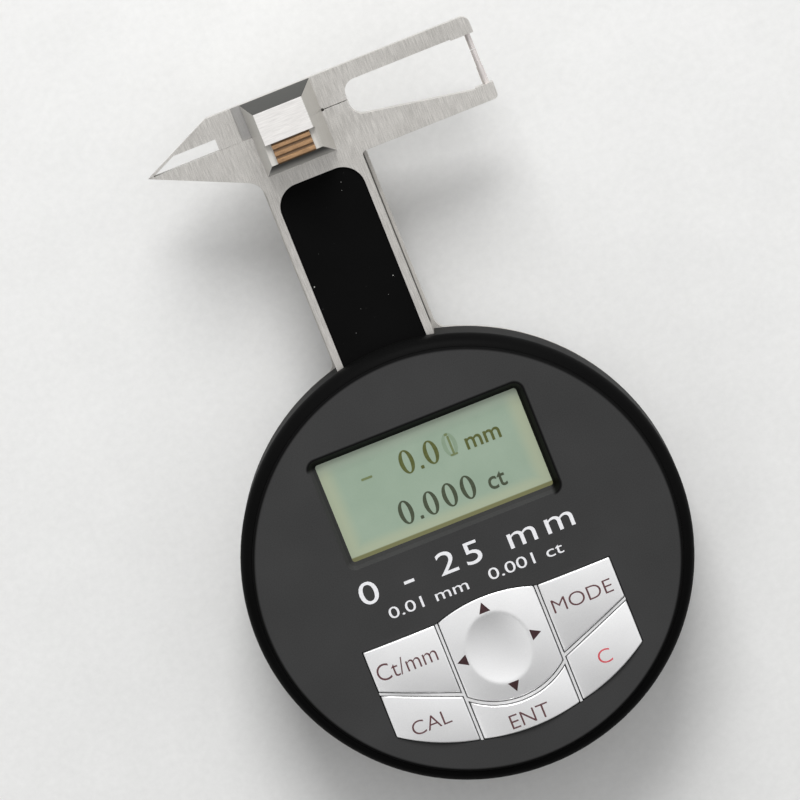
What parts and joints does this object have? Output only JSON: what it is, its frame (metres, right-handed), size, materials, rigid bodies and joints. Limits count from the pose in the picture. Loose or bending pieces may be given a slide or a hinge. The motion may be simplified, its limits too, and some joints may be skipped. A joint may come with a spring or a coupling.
{
  "type": "electronic gemstone gauge",
  "caption": "Round hand-held measuring gauge with a digital display, press keys and a flat steel stem whose spring-closed jaws open on a thumb slide to measure cut stones.",
  "frame": {"origin": "centre of the round body on the flat of its back, on which the gauge lies", "axes": "+Y along the stem towards the jaws, +Z out of the face with the display, +X to the right along the long arms of the jaws"},
  "size_m": [0.066, 0.1061, 0.023],
  "materials": {
    "shell_black": "gloss",
    "back_black": "satin",
    "face_grey": "fine matte",
    "bezel_black": "satin gloss",
    "cap_grey": "satin",
    "seal_rubber": "soft",
    "cell_steel": "nickel plated",
    "inner_plastic": "matte",
    "contact_brass": "bright",
    "steel": "brushed along the stem",
    "pin_steel": "ground bright",
    "display_glass": "clear",
    "reflector": "matte grey green",
    "holder_white": "matte",
    "strip_rubber": "soft",
    "board_green": "satin",
    "chip_black": "matte",
    "dome_steel": "bright",
    "mat_rubber": "soft",
    "key_pearl": "pearl satin",
    "grid_light": "satin",
    "pivot_steel": "polished",
    "grip_bronze": "brown bronze",
    "screw_steel": "plain",
    "scale_film": "satin",
    "spring_steel": "drawn wire"
  },
  "bodies": {
    "case": {"back_cover": "back_black", "coin_cell": "cell_steel", "cell_holder": "inner_plastic", "cell_contacts": "contact_brass", "frame_plate": "steel", "left_rail": "steel", "right_rail": "steel", "lower_jaw": "steel", "stem_cover": "shell_black", "lower_pin": "pin_steel", "front_housing": "shell_black", "face_panel": "face_grey", "display_bezel": "bezel_black", "display_glass": "display_glass", "display_reflector": "reflector", "display_holder": "holder_white", "conductive_strips": "strip_rubber", "main_board": "board_green", "board_components": "chip_black", "dome_switches": "dome_steel", "keypad_mat": "mat_rubber", "key_grid": "grid_light", "rocker_post": "inner_plastic", "reader_board": "board_green", "return_spring": "spring_steel", "spring_post": "screw_steel", "case_screws": "screw_steel", "jaw_screws": "screw_steel", "rail_pins": "screw_steel", "board_screws": "screw_steel"},
    "slider": {"upper_jaw": "steel", "thumb_rest": "steel", "grip_pad": "grip_bronze", "thumb_pins": "screw_steel", "slide_bar": "steel", "scale_strip": "scale_film", "slide_screws": "screw_steel", "upper_pin": "pin_steel"},
    "units_button": {"key_units": "key_pearl"},
    "mode_button": {"key_mode": "key_pearl"},
    "clear_button": {"key_clear": "key_pearl"},
    "calibrate_button": {"key_calibrate": "key_pearl"},
    "enter_button": {"key_enter": "key_pearl"},
    "rocker_cross": {"rocker_pivot": "pivot_steel"},
    "rocker": {"rocker_pad": "key_pearl"},
    "battery_door": {"battery_cap": "cap_grey", "cap_seal": "seal_rubber"}
  },
  "joints": [
    {"name": "jaw_slide", "type": "slide", "parent": "case", "child": "slider", "axis": [0, 1, 0], "range_m": [0, 0.025], "stiffness_N_per_m": 20, "springref_m": -0.03, "deforming": ["return_spring"]},
    {"name": "units_press", "type": "slide", "parent": "case", "child": "units_button", "axis": [0, 0, -1], "range_m": [0, 0.0005], "stiffness_N_per_m": 800},
    {"name": "mode_press", "type": "slide", "parent": "case", "child": "mode_button", "axis": [0, 0, -1], "range_m": [0, 0.0005], "stiffness_N_per_m": 800},
    {"name": "clear_press", "type": "slide", "parent": "case", "child": "clear_button", "axis": [0, 0, -1], "range_m": [0, 0.0005], "stiffness_N_per_m": 800},
    {"name": "calibrate_press", "type": "slide", "parent": "case", "child": "calibrate_button", "axis": [0, 0, -1], "range_m": [0, 0.0005], "stiffness_N_per_m": 800},
    {"name": "enter_press", "type": "slide", "parent": "case", "child": "enter_button", "axis": [0, 0, -1], "range_m": [0, 0.0005], "stiffness_N_per_m": 800},
    {"name": "rocker_up_down", "type": "hinge", "parent": "case", "child": "rocker_cross", "pos_m": [0, -0.01367, 0.01705], "axis": [1, 0, 0], "range_deg": [-2.2, 2.2], "stiffness_Nm_per_rad": 0.05},
    {"name": "rocker_left_right", "type": "hinge", "parent": "rocker_cross", "child": "rocker", "pos_m": [0, -0.01367, 0.01705], "axis": [0, 1, 0], "range_deg": [-2.2, 2.2], "stiffness_Nm_per_rad": 0.05},
    {"name": "battery_door_turn", "type": "hinge", "parent": "case", "child": "battery_door", "pos_m": [0, -0.013, 0.0015], "axis": [0, 0, 1], "range_deg": [0, 45]}
  ]
}
